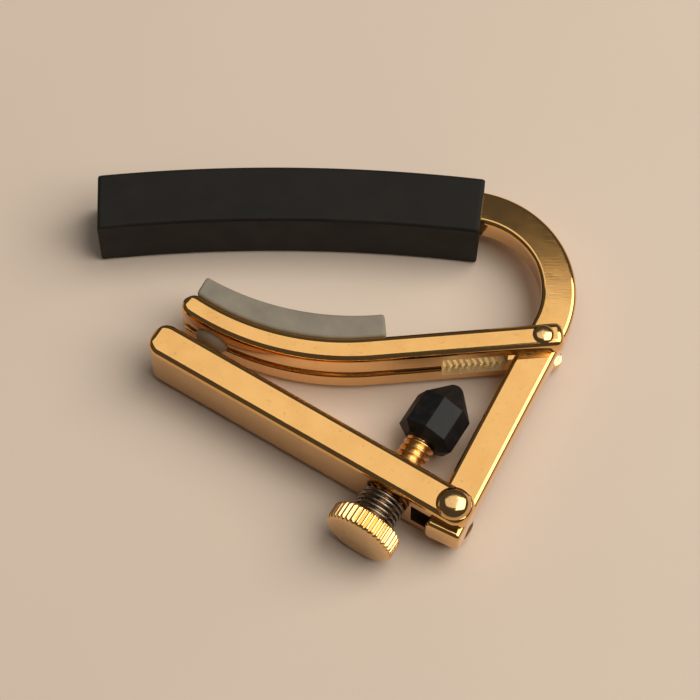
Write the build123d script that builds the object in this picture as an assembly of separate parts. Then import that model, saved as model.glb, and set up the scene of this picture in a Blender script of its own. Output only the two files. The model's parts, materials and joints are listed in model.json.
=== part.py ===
"""Guitar capo: a J-shaped frame, a hinged neck arm, and an over-centre lever with an adjusting screw.

Working frame, in millimetres: the origin is the centre of the hook's bend, +X points away from the
open mouth of the hook, +Y towards the strings, and +Z along the rivets.  Z = 0 is the middle plane
of the bars.  The finished parts are moved so that the origin is the bottom centre of the whole.
"""
from build123d import *
import math
import os

# Frame bar: a square bar, bowed over the strings and bent round into a straight shank.
BAR_HEIGHT = 5.0
BEND_OUTER_RADIUS = 17.4
BEND_INNER_RADIUS = 11.45
BEND_INNER_SHIFT = Vector(0.6, 0.4)
BOW_OUTER_RADIUS = 253.25
BOW_INNER_RADIUS = 247.85
BOW_CENTRE_X = -29.1
BOW_TIP_ANGLE = 95.83
SHANK_LEAN = 26.77
SHANK_BEYOND_LEVER_PIVOT = 3.9
BAR_EDGE_ROUND = 0.7

# Pivots, measured along the shank from the end of the bend.
ARM_PIVOT_DISTANCE = 2.47
LEVER_PIVOT_DISTANCE = 33.42

# Rubber sleeve round the string arm.
SLEEVE_OUTER_RADIUS = 253.85
SLEEVE_INNER_RADIUS = 244.5
SLEEVE_HEIGHT = 11.0
SLEEVE_TIP_ANGLE = 96.17
SLEEVE_INNER_TIP_ANGLE = 96.36
SLEEVE_ROOT_ANGLE = 82.58
SLEEVE_EDGE_ROUND = 0.6

# Neck arm, in its own frame: pivot at the origin, U towards the free end, V towards the neck.
STOCK_HEIGHT = 10.0
ARM_REST_ANGLE = 185.0
ARM_BACK_EDGE = -2.0
ARM_PAD_EDGE = 2.0
ARM_BACK_STRAIGHT = 26.0
ARM_BACK_RADIUS = 42.0
ARM_PAD_STRAIGHT = 26.5
ARM_PAD_RADIUS = 38.0
ARM_ROOT_END = -3.2
ARM_BACK_SWEEP = 43.7
ARM_PAD_SWEEP = 43.0
ARM_EDGE_ROUND = 1.0
ARM_ROOT_ROUND = 1.3
ARM_FREE_ROUND = 1.8
GROOVE_WIDTH = 2.4
GROOVE_DEPTH = 0.45
SLOT_WIDTH = 5.2
SLOT_DEPTH = 1.45
SLOT_LENGTH = 15.4
WEB_START = 5.15

# Rubber pad on the arm, and its moulded plug.
PAD_HEIGHT = 9.6
PAD_RADIUS = 41.8
PAD_CENTRE = (24.5, 47.45)
PAD_SWEEP = 38.8
PAD_UNDER_SWEEP = 41.7
PAD_ROOT_END = 23.6
PAD_EDGE_ROUND = 0.45
PLUG_DIAMETER = 5.4
PLUG_SWEEP = 34.5
PLUG_PROUD = 1.1
PLUG_EDGE_ROUND = 0.9
PLUG_ROOT = 0.5

# Lever, in its own frame: pivot at the origin, U towards the free end, V towards the arm.
LEVER_WIDTH = 5.6
LEVER_REST_ANGLE = 148.2
LEVER_LENGTH = 53.2
LEVER_ROOT_END = -3.0
LEVER_ROOT_ROUND = 2.3
LEVER_FREE_ROUND = 2.4
LEVER_EDGE_ROUND = 1.0
FORK_DEPTH = 5.6

# Adjusting screw and what rides on it; heights are measured from the lever's middle line.
SCREW_PLACE = 10.1
SCREW_DIAMETER = 4.83
SPIGOT_DIAMETER = 3.2
KNOB_BACK = -7.4
KNOB_THICKNESS = 3.3
KNOB_DIAMETER = 11.3
KNOB_CHAMFER = 0.35
KNOB_SOCKET = 2.0
SPRING_OUTER_DIAMETER = 7.2
SPRING_INNER_DIAMETER = 6.1
TIP_BASE = 7.65
TIP_CORNER = 8.7
TIP_SHOULDER = 14.25
TIP_TOP = 18.2
TIP_NOSE = 18.5
TIP_RADIUS = 4.57
TIP_BASE_RADIUS = 2.95
TIP_TOP_RADIUS = 1.1
TIP_NOSE_RADIUS = 0.55
TIP_GAP = 0.1
SPIGOT_TOP = 12.6

# Rivets.
ARM_RIVET_DIAMETER = 2.2
ARM_HEAD_DIAMETER = 3.2
ARM_HEAD_RISE = 0.5
LEVER_RIVET_DIAMETER = 2.8
LEVER_HEAD_DIAMETER = 5.3
LEVER_HEAD_RISE = 1.4
BACK_HEAD_RISE = 0.5

RUNNING_CLEARANCE = 0.05
HEAD_CLEARANCE = 0.05

# How far cutting shapes reach past what they cut, and how close counts as touching.
DEEP = 60.0
CUT_MARGIN = 2.0
CUT_PAST_END_SWEEP = 20.0
TOUCHING = 1e-4

BOW_CENTRE = Vector(
    BOW_CENTRE_X,
    -math.sqrt((BOW_OUTER_RADIUS - BEND_OUTER_RADIUS) ** 2 - BOW_CENTRE_X ** 2),
)
SHANK_DOWN = Vector(0, -1).rotate(Axis.Z, -SHANK_LEAN)
SHANK_OUT = Vector(1, 0).rotate(Axis.Z, -SHANK_LEAN)
SHANK_INNER_LINE = BEND_INNER_SHIFT.dot(SHANK_OUT) + BEND_INNER_RADIUS
SHANK_MIDDLE = (BEND_OUTER_RADIUS + SHANK_INNER_LINE) / 2
ARM_PIVOT = SHANK_OUT * SHANK_MIDDLE + SHANK_DOWN * ARM_PIVOT_DISTANCE
LEVER_PIVOT = SHANK_OUT * SHANK_MIDDLE + SHANK_DOWN * LEVER_PIVOT_DISTANCE
SCREW_AXIS = Vector(0, -1).rotate(Axis.Z, LEVER_REST_ANGLE)
SCREW_CENTRE = LEVER_PIVOT + Vector(SCREW_PLACE, 0).rotate(Axis.Z, LEVER_REST_ANGLE)


def on_circle(centre, radius, angle):
    """The point of a circle at an angle in degrees."""
    return Vector(*centre) + Vector(radius, 0).rotate(Axis.Z, angle)


def plate(outline, height):
    """A flat shape, as thick as height, across the middle plane."""
    return extrude(make_face(outline), height / 2, both=True)


def rod(diameter, start, end):
    """A round bar along Z from one height to another."""
    return Pos(0, 0, start) * Cylinder(
        diameter / 2, end - start, align=(Align.CENTER, Align.CENTER, Align.MIN)
    )


def block(u_range, v_range, z_range):
    """A box given by its two corners in each direction."""
    ranges = (u_range, v_range, z_range)
    size = [high - low for low, high in ranges]
    middle = [(high + low) / 2 for low, high in ranges]
    return Pos(*middle) * Box(*size)


def flat_edges(part, height):
    """The edges that bound the two large flat faces of a plate."""
    return part.edges().filter_by(
        lambda edge: abs(abs(edge.center().Z) - height / 2) < TOUCHING
    )


def arm_place():
    """Where the arm's own frame lies: U and V run to the free end and to the neck."""
    return Plane(ARM_PIVOT, x_dir=Vector(1, 0).rotate(Axis.Z, ARM_REST_ANGLE), z_dir=(0, 0, -1)).location


def lever_place():
    """Where the lever's own frame lies."""
    return Plane(LEVER_PIVOT, x_dir=Vector(1, 0).rotate(Axis.Z, LEVER_REST_ANGLE), z_dir=(0, 0, -1)).location


def screw_place():
    """Where the screw's own frame lies: its Z runs from the knob to the tip."""
    return Plane(SCREW_CENTRE, x_dir=(0, 0, 1), z_dir=SCREW_AXIS).location


def bend_start_angle(centre):
    """The angle at which the bow runs into a bend circle with this centre."""
    line = Vector(*centre) - BOW_CENTRE
    return math.degrees(math.atan2(line.Y, line.X))


def frame_outline():
    """The J seen along the rivets: bow, bend and shank."""
    outer_start = bend_start_angle((0, 0))
    inner_start = bend_start_angle(BEND_INNER_SHIFT)
    shank_end = SHANK_DOWN * (LEVER_PIVOT_DISTANCE + SHANK_BEYOND_LEVER_PIVOT)
    outer_bend = CenterArc((0, 0), BEND_OUTER_RADIUS, -SHANK_LEAN, outer_start + SHANK_LEAN)
    inner_bend = CenterArc(BEND_INNER_SHIFT, BEND_INNER_RADIUS, -SHANK_LEAN, inner_start + SHANK_LEAN)
    outer_corner = SHANK_OUT * BEND_OUTER_RADIUS + shank_end
    inner_corner = SHANK_OUT * SHANK_INNER_LINE + shank_end
    inner_bow_centre = bow_centre_of(BEND_INNER_SHIFT, inner_bend @ 1)
    outer_tip = on_circle(BOW_CENTRE, BOW_OUTER_RADIUS, BOW_TIP_ANGLE)
    outer_bow = CenterArc(BOW_CENTRE, BOW_OUTER_RADIUS, outer_start, BOW_TIP_ANGLE - outer_start)
    inner_bow = CenterArc(inner_bow_centre, BOW_INNER_RADIUS, inner_start, BOW_TIP_ANGLE - inner_start)
    return [
        outer_bend,
        outer_bow,
        Line(outer_tip, inner_bow @ 1),
        inner_bow,
        inner_bend,
        Line(inner_bend @ 0, inner_corner),
        Line(inner_corner, outer_corner),
        Line(outer_corner, outer_bend @ 0),
    ]


def bow_centre_of(bend_centre, bend_end):
    """The centre of the inner bow, in line with the bend's centre and its end."""
    direction = (Vector(*bend_centre) - bend_end).normalized()
    return bend_end + direction * BOW_INNER_RADIUS


def frame_bar():
    """The bent bar, with both rivet holes."""
    bar = plate(frame_outline(), BAR_HEIGHT)
    bar = fillet(flat_edges(bar, BAR_HEIGHT), BAR_EDGE_ROUND)
    bar -= Pos(*ARM_PIVOT) * rod(ARM_RIVET_DIAMETER, -DEEP, DEEP)
    bar -= Pos(*LEVER_PIVOT) * rod(LEVER_RIVET_DIAMETER, -DEEP, DEEP)
    return bar


def string_sleeve(bar):
    """The thick rubber tube, closely round the string arm."""
    outer_sweep = SLEEVE_TIP_ANGLE - SLEEVE_ROOT_ANGLE
    inner_sweep = SLEEVE_INNER_TIP_ANGLE - SLEEVE_ROOT_ANGLE
    outer = CenterArc(BOW_CENTRE, SLEEVE_OUTER_RADIUS, SLEEVE_ROOT_ANGLE, outer_sweep)
    inner = CenterArc(BOW_CENTRE, SLEEVE_INNER_RADIUS, SLEEVE_ROOT_ANGLE, inner_sweep)
    sleeve = plate([outer, Line(outer @ 1, inner @ 1), inner, Line(inner @ 0, outer @ 0)], SLEEVE_HEIGHT)
    long_edges = flat_edges(sleeve, SLEEVE_HEIGHT).filter_by(GeomType.CIRCLE)
    sleeve = fillet(long_edges, SLEEVE_EDGE_ROUND)
    return sleeve - bar


def arm_outline():
    """The arm seen along its pivot: straight at the root, curved round the back of the neck."""
    back_centre = (ARM_BACK_STRAIGHT, ARM_BACK_EDGE + ARM_BACK_RADIUS)
    pad_centre = (ARM_PAD_STRAIGHT, ARM_PAD_EDGE + ARM_PAD_RADIUS)
    back = CenterArc(back_centre, ARM_BACK_RADIUS, -90, ARM_BACK_SWEEP)
    inner = CenterArc(pad_centre, ARM_PAD_RADIUS, -90, ARM_PAD_SWEEP)
    return [
        Line((ARM_ROOT_END, ARM_BACK_EDGE), back @ 0),
        back,
        Line(back @ 1, inner @ 1),
        inner,
        Line(inner @ 0, (ARM_ROOT_END, ARM_PAD_EDGE)),
        Line((ARM_ROOT_END, ARM_PAD_EDGE), (ARM_ROOT_END, ARM_BACK_EDGE)),
    ]


def arm_groove():
    """The narrow lengthwise groove that the screw tip rides in."""
    centre = (ARM_BACK_STRAIGHT, ARM_BACK_EDGE + ARM_BACK_RADIUS)
    floor_radius = ARM_BACK_RADIUS - GROOVE_DEPTH
    straight = block(
        (SLOT_LENGTH - CUT_MARGIN, ARM_BACK_STRAIGHT),
        (-DEEP, ARM_BACK_EDGE + GROOVE_DEPTH),
        (-GROOVE_WIDTH / 2, GROOVE_WIDTH / 2),
    )
    sweep = ARM_BACK_SWEEP + CUT_PAST_END_SWEEP
    floor = CenterArc(centre, floor_radius, -90, sweep)
    skirt = CenterArc(centre, ARM_BACK_RADIUS + CUT_MARGIN, -90, sweep)
    curved = plate([floor, Line(floor @ 1, skirt @ 1), skirt, Line(skirt @ 0, floor @ 0)], GROOVE_WIDTH)
    return straight + curved


def plug_place():
    """Where the pad's plug crosses the arm, with Z pointing away from the neck."""
    centre = Vector(ARM_PAD_STRAIGHT, ARM_PAD_EDGE + ARM_PAD_RADIUS)
    outward = Vector(0, -1).rotate(Axis.Z, PLUG_SWEEP)
    return Plane(centre + outward * ARM_PAD_RADIUS, x_dir=(0, 0, 1), z_dir=outward).location


def arm_thickness_at_plug():
    """How thick the arm is where the plug crosses it."""
    outward = Vector(0, -1).rotate(Axis.Z, PLUG_SWEEP)
    between = Vector(
        ARM_PAD_STRAIGHT - ARM_BACK_STRAIGHT,
        ARM_PAD_EDGE + ARM_PAD_RADIUS - ARM_BACK_EDGE - ARM_BACK_RADIUS,
    )
    along = between.dot(outward)
    return math.sqrt(ARM_BACK_RADIUS ** 2 - between.length ** 2 + along ** 2) - along - ARM_PAD_RADIUS


def neck_arm():
    """The curved arm: grooved underneath, slotted at the root, drilled for the plug."""
    arm = plate(arm_outline(), STOCK_HEIGHT)
    arm = fillet(arm.edges().filter_by(Axis.Z).sort_by(Axis.X)[:2], ARM_ROOT_ROUND)
    arm = fillet(arm.edges().filter_by(Axis.Z).sort_by(Axis.X)[-2:], ARM_FREE_ROUND)
    arm = fillet(flat_edges(arm, STOCK_HEIGHT), ARM_EDGE_ROUND)
    half_slot = SLOT_WIDTH / 2
    arm -= arm_groove()
    arm -= block((-DEEP, WEB_START), (-DEEP, DEEP), (-half_slot, half_slot))
    arm -= block((-DEEP, SLOT_LENGTH), (-DEEP, ARM_BACK_EDGE + SLOT_DEPTH), (-half_slot, half_slot))
    arm -= rod(ARM_RIVET_DIAMETER + 2 * RUNNING_CLEARANCE, -DEEP, DEEP)
    arm -= plug_place() * rod(PLUG_DIAMETER, -CUT_MARGIN, STOCK_HEIGHT)
    return arm_place() * arm


def neck_pad():
    """The rubber pad, with the plug that holds it in the arm."""
    arm_centre = (ARM_PAD_STRAIGHT, ARM_PAD_EDGE + ARM_PAD_RADIUS)
    root_rise = math.sqrt(PAD_RADIUS ** 2 - (PAD_ROOT_END - PAD_CENTRE[0]) ** 2)
    root_angle = -90 - math.degrees(math.asin((PAD_CENTRE[0] - PAD_ROOT_END) / PAD_RADIUS))
    under = CenterArc(arm_centre, ARM_PAD_RADIUS, -90, PAD_UNDER_SWEEP)
    top = CenterArc(PAD_CENTRE, PAD_RADIUS, root_angle, PAD_SWEEP)
    outline = [
        under,
        Line(under @ 1, top @ 1),
        top,
        Line((PAD_ROOT_END, PAD_CENTRE[1] - root_rise), (PAD_ROOT_END, ARM_PAD_EDGE)),
        Line((PAD_ROOT_END, ARM_PAD_EDGE), under @ 0),
    ]
    pad = plate(outline, PAD_HEIGHT)
    long_edges = flat_edges(pad, PAD_HEIGHT).filter_by(GeomType.CIRCLE).sort_by(Axis.Y)
    pad = fillet(long_edges[-2:], PAD_EDGE_ROUND)
    plug = rod(PLUG_DIAMETER, -PLUG_ROOT, arm_thickness_at_plug() + PLUG_PROUD)
    plug = fillet(plug.edges().sort_by(Axis.Z)[-1], PLUG_EDGE_ROUND)
    return arm_place() * (pad + plug_place() * plug)


def lever():
    """The straight lever: forked round the shank, drilled across for the screw."""
    half_width = LEVER_WIDTH / 2
    half_height = STOCK_HEIGHT / 2
    bar = block((LEVER_ROOT_END, LEVER_LENGTH), (-half_width, half_width), (-half_height, half_height))
    bar = fillet(bar.edges().filter_by(Axis.Z).sort_by(Axis.X)[:2], LEVER_ROOT_ROUND)
    bar = fillet(bar.edges().filter_by(Axis.Z).sort_by(Axis.X)[-2:], LEVER_FREE_ROUND)
    bar = fillet(flat_edges(bar, STOCK_HEIGHT), LEVER_EDGE_ROUND)
    half_slot = SLOT_WIDTH / 2
    bar -= block((-DEEP, FORK_DEPTH), (-DEEP, DEEP), (-half_slot, half_slot))
    bar -= rod(LEVER_RIVET_DIAMETER + 2 * RUNNING_CLEARANCE, -DEEP, DEEP)
    tapped = rod(SCREW_DIAMETER + 2 * RUNNING_CLEARANCE, -DEEP, DEEP)
    bar -= Pos(SCREW_PLACE, 0, 0) * Rot(90, 0, 0) * tapped
    return lever_place() * bar


def adjusting_screw():
    """The screw: a full-size shank and a plain spigot inside the tip."""
    shoulder = TIP_BASE - TIP_GAP
    shank = rod(SCREW_DIAMETER, KNOB_BACK - KNOB_SOCKET, shoulder)
    spigot = rod(SPIGOT_DIAMETER, shoulder, SPIGOT_TOP)
    return screw_place() * (shank + spigot)


def knob():
    """The round knob, with a blind socket for the screw."""
    disc = rod(KNOB_DIAMETER, KNOB_BACK - KNOB_THICKNESS, KNOB_BACK)
    disc = chamfer(disc.edges().filter_by(GeomType.CIRCLE), KNOB_CHAMFER)
    disc -= rod(SCREW_DIAMETER, KNOB_BACK - KNOB_SOCKET, KNOB_BACK)
    return screw_place() * disc


def tension_spring():
    """The space that the compression spring fills round the screw."""
    lever_face = -LEVER_WIDTH / 2
    coil = rod(SPRING_OUTER_DIAMETER, KNOB_BACK, lever_face)
    coil -= rod(SPRING_INNER_DIAMETER, KNOB_BACK, lever_face)
    return screw_place() * coil


def octagon(radius, height):
    """A regular eight-sided outline with one corner towards the rivets' direction."""
    return Pos(0, 0, height) * RegularPolygon(radius, 8)


def screw_tip():
    """The eight-sided cap: chamfered base, straight sides, blunt pyramid, blind bore."""
    tip = loft([octagon(TIP_BASE_RADIUS, TIP_BASE), octagon(TIP_RADIUS, TIP_CORNER)])
    tip += extrude(octagon(TIP_RADIUS, TIP_CORNER), TIP_SHOULDER - TIP_CORNER)
    tip += loft([octagon(TIP_RADIUS, TIP_SHOULDER), octagon(TIP_TOP_RADIUS, TIP_TOP)])
    tip += loft([octagon(TIP_TOP_RADIUS, TIP_TOP), octagon(TIP_NOSE_RADIUS, TIP_NOSE)])
    tip -= rod(SPIGOT_DIAMETER + 2 * RUNNING_CLEARANCE, TIP_BASE, SPIGOT_TOP + RUNNING_CLEARANCE)
    return screw_place() * tip


def domed_head(diameter, rise, base):
    """A spherical cap that stands on the height base."""
    radius = (diameter ** 2 / 4 + rise ** 2) / (2 * rise)
    ball = Pos(0, 0, base + rise - radius) * Sphere(radius)
    return ball & rod(diameter, base, base + rise + CUT_MARGIN)


def rivet(pivot, diameter, head_diameter, rise):
    """A rivet through a pivot: domed head on top, low formed head underneath."""
    reach = STOCK_HEIGHT / 2 + HEAD_CLEARANCE
    shank = rod(diameter, -reach, reach)
    top = domed_head(head_diameter, rise - HEAD_CLEARANCE, reach)
    back = Rot(180, 0, 0) * domed_head(head_diameter, BACK_HEAD_RISE - HEAD_CLEARANCE, reach)
    return Pos(*pivot) * (shank + top + back)


def build():
    """Every piece by name, in the working frame."""
    bar = frame_bar()
    return {
        "frame_bar": bar,
        "string_sleeve": string_sleeve(bar),
        "neck_arm": neck_arm(),
        "neck_pad": neck_pad(),
        "lever": lever(),
        "adjusting_screw": adjusting_screw(),
        "knob": knob(),
        "tension_spring": tension_spring(),
        "screw_tip": screw_tip(),
        "arm_rivet": rivet(ARM_PIVOT, ARM_RIVET_DIAMETER, ARM_HEAD_DIAMETER, ARM_HEAD_RISE),
        "lever_rivet": rivet(LEVER_PIVOT, LEVER_RIVET_DIAMETER, LEVER_HEAD_DIAMETER, LEVER_HEAD_RISE),
    }


def main():
    """Move the origin to the bottom centre, and write one STEP file for each piece."""
    os.makedirs("parts", exist_ok=True)
    pieces = build()
    box = Compound(children=[Compound(piece.solids()) for piece in pieces.values()]).bounding_box()
    shift = Vector(-box.center().X, -box.center().Y, -box.min.Z)
    for name, piece in pieces.items():
        export_step(Pos(*shift) * Compound(piece.solids()), f"parts/{name}.step")
    print("size", box.size)
    print("arm pivot", ARM_PIVOT + shift)
    print("lever pivot", LEVER_PIVOT + shift)
    print("screw centre", SCREW_CENTRE + shift, "screw axis", SCREW_AXIS)


main()
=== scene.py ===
"""Looks of the guitar capo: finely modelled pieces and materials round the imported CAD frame."""
import json
import math

import bmesh
import bpy
from mathutils import Matrix, Vector


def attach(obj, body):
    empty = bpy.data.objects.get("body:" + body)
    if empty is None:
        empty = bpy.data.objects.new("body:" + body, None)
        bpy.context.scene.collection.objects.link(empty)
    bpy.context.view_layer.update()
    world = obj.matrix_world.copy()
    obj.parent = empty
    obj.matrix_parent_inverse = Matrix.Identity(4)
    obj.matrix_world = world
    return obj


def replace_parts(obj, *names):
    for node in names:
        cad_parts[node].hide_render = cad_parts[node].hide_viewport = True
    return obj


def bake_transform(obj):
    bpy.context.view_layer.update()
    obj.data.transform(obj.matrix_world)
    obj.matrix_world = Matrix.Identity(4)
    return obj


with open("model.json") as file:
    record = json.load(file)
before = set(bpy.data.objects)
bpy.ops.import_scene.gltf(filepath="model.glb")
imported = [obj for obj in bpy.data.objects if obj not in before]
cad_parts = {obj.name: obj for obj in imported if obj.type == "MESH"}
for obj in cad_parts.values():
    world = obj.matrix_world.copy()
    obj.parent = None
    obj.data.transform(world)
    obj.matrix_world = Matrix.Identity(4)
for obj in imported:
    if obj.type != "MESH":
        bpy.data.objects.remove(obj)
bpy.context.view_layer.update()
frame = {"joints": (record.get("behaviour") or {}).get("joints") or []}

MM = 0.001
UP = Vector((0, 0, 1))
JOINTS = {joint["name"]: joint for joint in frame["joints"]}
ARM_PIVOT = Vector(JOINTS["arm_pivot"]["pos_m"])
LEVER_PIVOT = Vector(JOINTS["lever_pivot"]["pos_m"])
SCREW_CENTRE = Vector(JOINTS["knob_turn"]["pos_m"])
SCREW_AXIS = Vector(JOINTS["knob_turn"]["axis"]).normalized()

# Frame bar, as in the CAD: bow over the strings, bend, shank.
BAR_HEIGHT = 5.0 * MM
BAR_ROUND = 0.7 * MM
BEND_OUTER_RADIUS = 17.4 * MM
BEND_INNER_RADIUS = 11.45 * MM
BEND_INNER_SHIFT = Vector((0.6, 0.4, 0)) * MM
BOW_OUTER_RADIUS = 253.25 * MM
BOW_INNER_RADIUS = 247.85 * MM
BOW_CENTRE_X = -29.1 * MM
BOW_TIP_ANGLE = 95.83
BEND_FIRST_STEP = 0.3
SHANK_LEAN = 26.77
ARM_PIVOT_DISTANCE = 2.47 * MM
SHANK_LENGTH = 37.3 * MM
SHANK_END_ROUND = 0.35 * MM

# Sleeve, on the bow's centre.
SLEEVE_OUTER_RADIUS = 253.85 * MM
SLEEVE_INNER_RADIUS = 244.5 * MM
SLEEVE_TIP_ANGLE = 96.17
SLEEVE_INNER_TIP_ANGLE = 96.36
SLEEVE_ROOT_ANGLE = 82.58
SLEEVE_HEIGHT = 11.0 * MM
SLEEVE_ROUND = 0.6 * MM
SLEEVE_END_ROUND = 0.15 * MM
PASSAGE_EXTRA_ANGLE = 0.4

# Arm and pad, in the arm's own frame.
STOCK_HEIGHT = 10.0 * MM
ARM_ANGLE = 185.0
ARM_BACK_EDGE = -2.0 * MM
ARM_PAD_EDGE = 2.0 * MM
ARM_BACK_STRAIGHT = 26.0 * MM
ARM_PAD_STRAIGHT = 26.5 * MM
ARM_BACK_RADIUS = 42.0 * MM
ARM_PAD_RADIUS = 38.0 * MM
ARM_BACK_SWEEP = 43.7
ARM_PAD_SWEEP = 43.0
ARM_ROOT_END = -3.2 * MM
ARM_EDGE_ROUND = 1.0 * MM
ARM_ROOT_ROUND = 1.3 * MM
ARM_FREE_ROUND = 1.8 * MM
GROOVE_WIDTH = 2.4 * MM
GROOVE_DEPTH = 0.45 * MM
SLOT_WIDTH = 5.2 * MM
SLOT_DEPTH = 1.45 * MM
SLOT_LENGTH = 15.4 * MM
WEB_START = 5.15 * MM
GROOVE_CORNER = 0.25 * MM
RIDGE_SPACING = 0.95 * MM
RIDGE_HALF_DEPTH = 0.07 * MM
RIDGE_SLANT = 0.28
RIDGE_STEP = 0.11 * MM
RIDGE_ROWS = 10
PAD_HEIGHT = 9.6 * MM
PAD_RADIUS = 41.8 * MM
PAD_CENTRE = Vector((24.5, 47.45, 0)) * MM
PAD_SWEEP = 38.8
PAD_UNDER_SWEEP = 41.7
PAD_ROOT_END = 23.6 * MM
PLUG_PROUD = 1.1 * MM
PLUG_DOME = 1.2 * MM
PLUG_CROWN = 0.12
PLUG_ROOT = 0.5 * MM
PAD_EDGE_ROUND = 0.45 * MM
PLUG_DIAMETER = 5.4 * MM
PLUG_SWEEP = 34.5

# Lever, in its own frame.
LEVER_ANGLE = 148.2
LEVER_WIDTH = 5.6 * MM
LEVER_LENGTH = 53.2 * MM
LEVER_ROOT_END = -3.0 * MM
LEVER_ROOT_ROUND = 2.3 * MM
LEVER_FREE_ROUND = 2.4 * MM
FORK_DEPTH = 5.6 * MM

# Screw group, along the screw from the lever's middle line.
SCREW_DIAMETER = 4.83 * MM
THREAD_PITCH = 25.4 / 24 * MM
THREAD_DEPTH = 0.6 * MM
THREAD_STEPS = 20
THREAD_SEGMENTS = 96
SPIGOT_DIAMETER = 3.2 * MM
KNOB_BACK = -7.4 * MM
KNOB_THICKNESS = 3.3 * MM
KNOB_DIAMETER = 11.3 * MM
KNOB_SOCKET = 2.0 * MM
KNURL_RIBS = 38
KNURL_DEPTH = 0.34 * MM
KNURL_STEPS = 10
KNURL_START = 0.45
KNURL_ROW = 0.34
KNURL_ROWS = 8
# Each point of the bevelled rims: how far inside the rim and how far from the nearer face, in mm.
KNOB_BACK_BEVEL = ((0.75, 0), (0.45, 0.08), (0.2, 0.25))
KNOB_FACE_BEVEL = ((0.2, 0.28), (0.42, 0.1), (0.6, 0.02), (0.8, 0))
SPRING_DIAMETER = 7.2 * MM
SPRING_WIRE = 0.55 * MM
SPRING_TURNS = 5.6
SPRING_CLOSED_TURNS = 0.7
SPRING_STEPS = 44
SPRING_SIDES = 12
TIP_HEIGHTS = [height * MM for height in (7.65, 8.7, 14.25, 18.2, 18.5)]
TIP_RADII = [radius * MM for radius in (2.95, 4.57, 4.57, 1.1, 0.55)]
SPIGOT_TOP = 12.6 * MM
SPIGOT_CHAMFER = 0.2 * MM
TIP_GAP = 0.1 * MM
TIP_BEVEL = 0.1 * MM
TIP_BEVEL_ANGLE = math.radians(12)

# Rivets.
ARM_RIVET_DIAMETER = 2.2 * MM
ARM_HEAD_DIAMETER = 3.2 * MM
ARM_HEAD_RISE = 0.5 * MM
LEVER_RIVET_DIAMETER = 2.8 * MM
LEVER_HEAD_DIAMETER = 5.3 * MM
LEVER_HEAD_RISE = 1.4 * MM
BACK_HEAD_RISE = 0.5 * MM
CLEARANCE = 0.05 * MM

# How finely the meshes follow their curves.
CURVE_STEP = 0.4 * MM
PINPOINT = 0.01 * MM
DRILL_REACH = 20 * MM
CUT_MARGIN = 5 * MM
SKIN = 0.03 * MM
CORNER_STEPS = 6
END_STEPS = 7
STRAIGHT_STEPS = 8
PLUG_STEPS = 10
DOME_STEPS = 20
ROUND_SEGMENTS = 64
SMOOTH_ANGLE = math.radians(32)
KNURL_SMOOTH_ANGLE = math.radians(40)
SPRING_SMOOTH_ANGLE = math.radians(50)
THREAD_SMOOTH_ANGLE = math.radians(60)
LEVEL = 0.99999

SHANK_DOWN = Vector((-math.sin(math.radians(SHANK_LEAN)), -math.cos(math.radians(SHANK_LEAN)), 0))
SHANK_OUT = Vector((math.cos(math.radians(SHANK_LEAN)), -math.sin(math.radians(SHANK_LEAN)), 0))
SHANK_INNER_LINE = BEND_INNER_SHIFT.dot(SHANK_OUT) + BEND_INNER_RADIUS
SHANK_MIDDLE = (BEND_OUTER_RADIUS + SHANK_INNER_LINE) / 2
BEND_CENTRE = ARM_PIVOT - SHANK_OUT * SHANK_MIDDLE - SHANK_DOWN * ARM_PIVOT_DISTANCE
BOW_RISE = math.sqrt((BOW_OUTER_RADIUS - BEND_OUTER_RADIUS) ** 2 - BOW_CENTRE_X ** 2)
BOW_CENTRE = BEND_CENTRE + Vector((BOW_CENTRE_X, -BOW_RISE, 0))
BEND_START = math.degrees(math.atan2(BOW_RISE, -BOW_CENTRE_X))


# ---------------------------------------------------------------- mesh tools

def on_circle(centre, radius, degrees):
    """The point of a level circle at an angle."""
    angle = math.radians(degrees)
    return centre + Vector((math.cos(angle), math.sin(angle), 0)) * radius


def level_frame(origin, degrees):
    """A frame whose X runs level at an angle, and whose Z points down."""
    along = on_circle(Vector(), 1, degrees)
    across = (-UP).cross(along)
    matrix = Matrix((along, across, -UP)).transposed().to_4x4()
    matrix.translation = origin
    return matrix


def screw_frame():
    """A frame whose Z runs along the screw towards the tip, and whose X points up."""
    matrix = Matrix((UP, SCREW_AXIS.cross(UP), SCREW_AXIS)).transposed().to_4x4()
    matrix.translation = SCREW_CENTRE
    return matrix


ARM_FRAME = level_frame(ARM_PIVOT, ARM_ANGLE)
LEVER_FRAME = level_frame(LEVER_PIVOT, LEVER_ANGLE)
SCREW_FRAME = screw_frame()


def steps_for(length, step=CURVE_STEP):
    """How many equal steps cover a length."""
    return max(1, math.ceil(length / step))


def new_object(name, points, faces, place=Matrix.Identity(4)):
    """A mesh object with outward normals; place carries its points into the shared frame."""
    mesh = bpy.data.meshes.new(name)
    mesh.from_pydata([place @ Vector(point) for point in points], [], faces)
    shape = bmesh.new()
    shape.from_mesh(mesh)
    bmesh.ops.remove_doubles(shape, verts=shape.verts, dist=1e-7)
    bmesh.ops.recalc_face_normals(shape, faces=shape.faces)
    shape.to_mesh(mesh)
    shape.free()
    obj = bpy.data.objects.new(name, mesh)
    bpy.context.scene.collection.objects.link(obj)
    return obj


def bridge(rings):
    """Faces that join equal rings of points one after another."""
    count = len(rings[0])
    faces = []
    for level in range(len(rings) - 1):
        low, high = level * count, (level + 1) * count
        for index in range(count):
            following = (index + 1) % count
            faces.append((low + index, low + following, high + following, high + index))
    return faces


def capped(rings):
    """Points and faces of a closed shape made of rings, flat at both ends."""
    count = len(rings[0])
    points = [point for ring in rings for point in ring]
    last = (len(rings) - 1) * count
    faces = bridge(rings)
    faces.append(tuple(reversed(range(count))))
    faces.append(tuple(range(last, last + count)))
    return points, faces


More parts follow.
